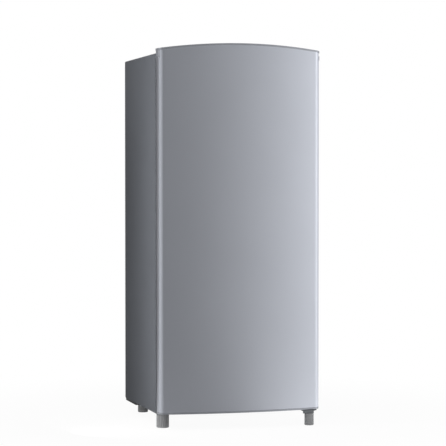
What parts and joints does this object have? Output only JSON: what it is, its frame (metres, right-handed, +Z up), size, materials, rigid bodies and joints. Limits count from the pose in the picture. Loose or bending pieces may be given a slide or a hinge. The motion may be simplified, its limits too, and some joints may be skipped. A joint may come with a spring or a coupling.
{
  "type": "single door refrigerator",
  "caption": "Free-standing single door refrigerator with a bowed silver door, arched top cap, levelling feet, freezer box, shelves, drawer and rear condenser.",
  "frame": {"origin": "on the floor, under the middle of the whole object", "axes": "+Z up, -Y to the front (the door), +X to the viewer's right, where the hinges are"},
  "size_m": [0.523, 0.5205, 1.189],
  "materials": {
    "cabinet_paint": "satin grey powder coat",
    "zinc_sheet": "zinc coated sheet",
    "black_steel": "black stove enamel",
    "hinge_steel": "grey painted steel",
    "foam": "rigid foam",
    "liner_white": "white moulded sheet",
    "door_silver": "silver metallic paint",
    "cap_grey": "grey moulded plastic",
    "cap_silver": "silver grey moulded plastic",
    "gasket_grey": "soft grey seal",
    "magnet_strip": "bonded magnet strip",
    "bush_plastic": "natural bearing plastic",
    "clear_plastic": "clear moulded plastic",
    "white_plastic": "white moulded plastic",
    "button_green": "green moulded plastic",
    "trim_plastic": "pale grey trim",
    "bright_steel": "bright zinc",
    "foot_plastic": "grey moulded plastic",
    "black_rubber": "black rubber",
    "copper": "drawn copper pipe",
    "black_plastic": "black moulded plastic",
    "cold_plate": "rolled aluminium",
    "shelf_glass": "toughened glass",
    "lamp_glass": "frosted glass",
    "lamp_plastic": "frosted clear plastic"
  },
  "bodies": {
    "cabinet": {"cabinet_wrap": "cabinet_paint", "bottom_pan": "zinc_sheet", "machine_shroud": "zinc_sheet", "back_panel": "zinc_sheet", "cabinet_foam": "foam", "inner_liner": "liner_white", "upper_hinge_bracket": "hinge_steel", "upper_hinge_pin": "bright_steel", "lower_hinge_bracket": "hinge_steel", "lower_hinge_pin": "bright_steel", "hinge_screws": "bright_steel", "hinge_cover": "cap_grey", "foot_nut_plate": "black_steel", "rear_feet": "foot_plastic", "compressor_base": "black_steel", "compressor": "black_steel", "compressor_grommets": "black_rubber", "compressor_bolts": "bright_steel", "terminal_box": "black_plastic", "suction_tube": "copper", "discharge_tube": "copper", "condenser": "black_steel", "condenser_clips": "black_plastic", "filter_drier": "copper", "capillary_tube": "copper", "drain_tube": "black_plastic", "drain_pan": "black_plastic", "cord_gland": "black_rubber", "evaporator_box": "cold_plate", "evaporator_hangers": "white_plastic", "freezer_frame": "white_plastic", "shelf_glass": "shelf_glass", "shelf_trims": "trim_plastic", "thermostat_housing": "white_plastic", "thermostat_body": "black_plastic", "lamp_cover": "lamp_plastic", "lamp_socket": "white_plastic", "lamp_bulb": "lamp_glass", "switch_body": "white_plastic"},
    "door": {"door_skin": "door_silver", "door_foam": "foam", "dike_foam": "foam", "door_liner": "liner_white", "door_top_cap": "cap_silver", "door_bottom_cap": "cap_silver", "door_gasket": "gasket_grey", "gasket_magnets": "magnet_strip", "hinge_bushes": "bush_plastic"},
    "bottle_bin": {"bottle_bin": "clear_plastic"},
    "middle_bin": {"middle_bin": "clear_plastic"},
    "top_bin": {"top_bin": "clear_plastic"},
    "egg_tray": {"egg_tray": "white_plastic"},
    "crisper": {"crisper_drawer": "clear_plastic"},
    "chiller_tray": {"chiller_tray": "clear_plastic"},
    "freezer_flap": {"freezer_flap": "white_plastic"},
    "switch_plunger": {"switch_plunger": "white_plastic"},
    "thermostat_knob": {"thermostat_knob": "white_plastic"},
    "defrost_button": {"defrost_button": "button_green"},
    "front_left_foot": {"front_left_foot": "foot_plastic"},
    "front_right_foot": {"front_right_foot": "foot_plastic"}
  },
  "joints": [
    {"name": "door_swing", "type": "hinge", "parent": "cabinet", "child": "door", "pos_m": [0.245, -0.21775, 0.0475], "axis": [0, 0, 1], "range_deg": [0, 105]},
    {"name": "crisper_slide", "type": "slide", "parent": "cabinet", "child": "crisper", "axis": [0, -1, 0], "range_m": [0, 0.11]},
    {"name": "chiller_tray_slide", "type": "slide", "parent": "cabinet", "child": "chiller_tray", "axis": [0, -1, 0], "range_m": [0, 0.12]},
    {"name": "freezer_flap_swing", "type": "hinge", "parent": "cabinet", "child": "freezer_flap", "pos_m": [0.196, -0.09475, 0.9425], "axis": [0, 0, 1], "range_deg": [0, 80]},
    {"name": "switch_plunger_slide", "type": "slide", "parent": "cabinet", "child": "switch_plunger", "axis": [0, -1, 0], "range_m": [0, 0.006]},
    {"name": "thermostat_knob_turn", "type": "hinge", "parent": "cabinet", "child": "thermostat_knob", "pos_m": [0.186, 0.06425, 0.79], "axis": [1, 0, 0], "range_deg": [0, 300]},
    {"name": "defrost_button_push", "type": "slide", "parent": "thermostat_knob", "child": "defrost_button", "axis": [1, 0, 0], "range_m": [0, 0.003], "stiffness_N_per_m": 300},
    {"name": "bottle_bin_lift", "type": "slide", "parent": "door", "child": "bottle_bin", "axis": [0, 0, 1], "range_m": [0, 0.025]},
    {"name": "middle_bin_lift", "type": "slide", "parent": "door", "child": "middle_bin", "axis": [0, 0, 1], "range_m": [0, 0.025]},
    {"name": "top_bin_lift", "type": "slide", "parent": "door", "child": "top_bin", "axis": [0, 0, 1], "range_m": [0, 0.025]},
    {"name": "egg_tray_lift", "type": "slide", "parent": "top_bin", "child": "egg_tray", "axis": [0, 0, 1], "range_m": [0, 0.03]},
    {"name": "front_left_foot_turn", "type": "hinge", "parent": "cabinet", "child": "front_left_foot", "pos_m": [-0.231, -0.16475, 0], "axis": [0, 0, 1], "continuous": true},
    {"name": "front_right_foot_turn", "type": "hinge", "parent": "cabinet", "child": "front_right_foot", "pos_m": [0.224, -0.23775, 0], "axis": [0, 0, 1], "continuous": true}
  ],
  "couplings": [
    {"joint": "crisper_slide", "follows": "door_swing", "m_per_rad": 0.06},
    {"joint": "chiller_tray_slide", "follows": "door_swing", "m_per_rad": 0.065},
    {"joint": "freezer_flap_swing", "follows": "door_swing", "ratio": 0.76},
    {"joint": "switch_plunger_slide", "follows": "door_swing", "m_per_rad": 0.0032}
  ]
}
